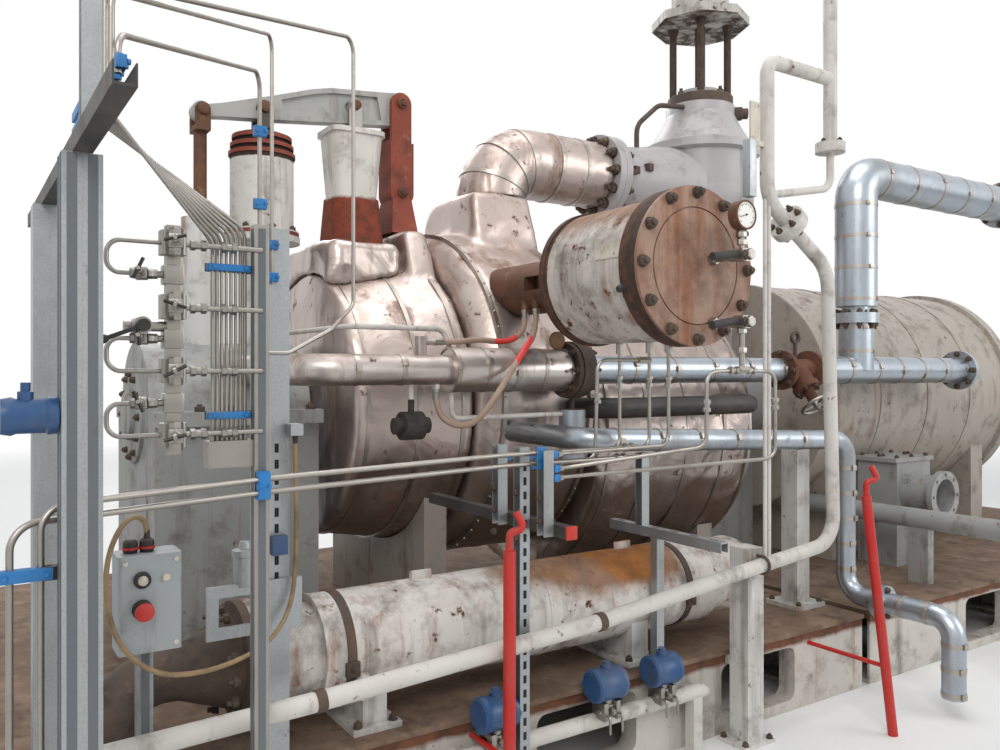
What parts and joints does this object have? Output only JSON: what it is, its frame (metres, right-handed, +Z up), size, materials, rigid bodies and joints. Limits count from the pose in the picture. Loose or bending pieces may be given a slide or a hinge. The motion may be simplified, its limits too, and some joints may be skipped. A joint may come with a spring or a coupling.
{
  "type": "compressor train",
  "caption": "Steam turbine and compressor on a steel skid, with governor lever gear, clad inlet elbow and stop valve, trip cylinder, front piping, oil vessel and an instrument rack.",
  "frame": {"origin": "on the floor, on the underside of the compressor skid, under the shaft line near the coupling", "axes": "+X along the shaft from the governor end to the compressor, +Y away from the operating side, +Z up"},
  "size_m": [8.05, 4.072, 4.4073],
  "materials": {
    "skid_paint": "matt",
    "deck_plate": "matt",
    "grey_paint": "satin",
    "white_paint": "satin",
    "lever_grey": "satin",
    "link_brown": "rough",
    "bright_steel": "satin",
    "cladding": "satin",
    "blanket": "matt",
    "machine_beige": "satin",
    "valve_iron": "matt",
    "rusty_cover": "rough",
    "cream_paint": "satin",
    "stainless": "satin",
    "galvanised": "satin",
    "dark_paint": "matt",
    "red_paint": "satin",
    "vessel_beige": "satin",
    "black_plastic": "matt",
    "box_grey": "matt",
    "braid": "matt",
    "cable_sheath": "satin",
    "blue_paint": "gloss"
  },
  "bodies": {
    "root": {"skid_side_beams": "skid_paint", "skid_cross_beams": "skid_paint", "skid_decks": "deck_plate", "front_pedestal": "grey_paint", "servo_stand": "white_paint", "servo_cylinder": "white_paint", "anchor_link": "link_brown", "valve_column": "white_paint", "feedback_cup": "white_paint", "governor_end_cladding": "cladding", "casing_cladding": "cladding", "inlet_elbow": "cladding", "exhaust_cladding": "cladding", "steam_chest": "blanket", "coupling_guard": "grey_paint", "compressor_barrel": "machine_beige", "compressor_end_cover": "machine_beige", "machine_supports": "machine_beige", "inlet_flanges": "rusty_cover", "stop_valve_body": "valve_iron", "stop_valve_support": "machine_beige", "valve_yoke": "cream_paint", "trip_cylinder_shell": "white_paint", "trip_cylinder_cover": "rusty_cover", "trip_cylinder_neck": "rusty_cover", "impulse_tubes": "stainless", "clad_pipe_left": "cladding", "clad_pipe_middle": "cladding", "clad_pipe_right": "cladding", "clad_riser": "galvanised", "pipe_joint": "valve_iron", "gate_valve": "rusty_cover", "dark_pipe": "dark_paint", "drain_pipe": "galvanised", "steam_line": "white_paint", "pipe_posts": "grey_paint", "standpipes": "red_paint", "vessel_shell": "vessel_beige", "vessel_inlet": "vessel_beige", "vessel_saddles": "vessel_beige", "oil_box": "grey_paint", "cooling_pipe": "grey_paint", "rack_columns": "galvanised", "front_struts": "galvanised", "black_channels": "dark_paint", "tube_bundle": "stainless", "hoop_tubes": "stainless", "tube_pair": "stainless", "manifold": "stainless", "junction_box": "box_grey", "transmitters": "blue_paint", "braided_hose_upper": "braid", "braided_hose_lower": "braid", "box_cable": "cable_sheath"},
    "governor_lever": {"governor_lever": "lever_grey"},
    "servo_rod": {"servo_rod": "bright_steel"},
    "valve_spindle": {"valve_spindle": "bright_steel"},
    "feedback_link": {"feedback_link": "link_brown"},
    "gate_handwheel": {"gate_handwheel": "bright_steel"},
    "valve_handle": {"valve_handle": "black_plastic"}
  },
  "joints": [
    {"name": "lever_swing", "type": "hinge", "parent": "root", "child": "governor_lever", "pos_m": [-2.18, 0, 3.009], "axis": [0, 1, 0], "range_deg": [0, 8]},
    {"name": "servo_lift", "type": "slide", "parent": "root", "child": "servo_rod", "axis": [0, 0, 1], "range_m": [0, 0.1025]},
    {"name": "spindle_lift", "type": "slide", "parent": "root", "child": "valve_spindle", "axis": [0, 0, 1], "range_m": [0, 0.0368]},
    {"name": "link_swing", "type": "hinge", "parent": "governor_lever", "child": "feedback_link", "pos_m": [-3.19535, 0, 2.81347], "axis": [0, 1, 0], "range_deg": [-8.1, 0.1]},
    {"name": "gate_wheel_turn", "type": "hinge", "parent": "root", "child": "gate_handwheel", "pos_m": [-0.183, -1, 1.605], "axis": [0, -0.6, -0.8], "continuous": true},
    {"name": "valve_handle_turn", "type": "hinge", "parent": "root", "child": "valve_handle", "pos_m": [-3.786, -1.8563, 1.714], "axis": [0, 1, 0], "range_deg": [0, 90]}
  ],
  "couplings": [
    {"joint": "servo_lift", "follows": "lever_swing", "m_per_rad": 0.7301},
    {"joint": "spindle_lift", "follows": "lever_swing", "m_per_rad": 0.2599},
    {"joint": "link_swing", "follows": "lever_swing", "ratio": -1}
  ]
}
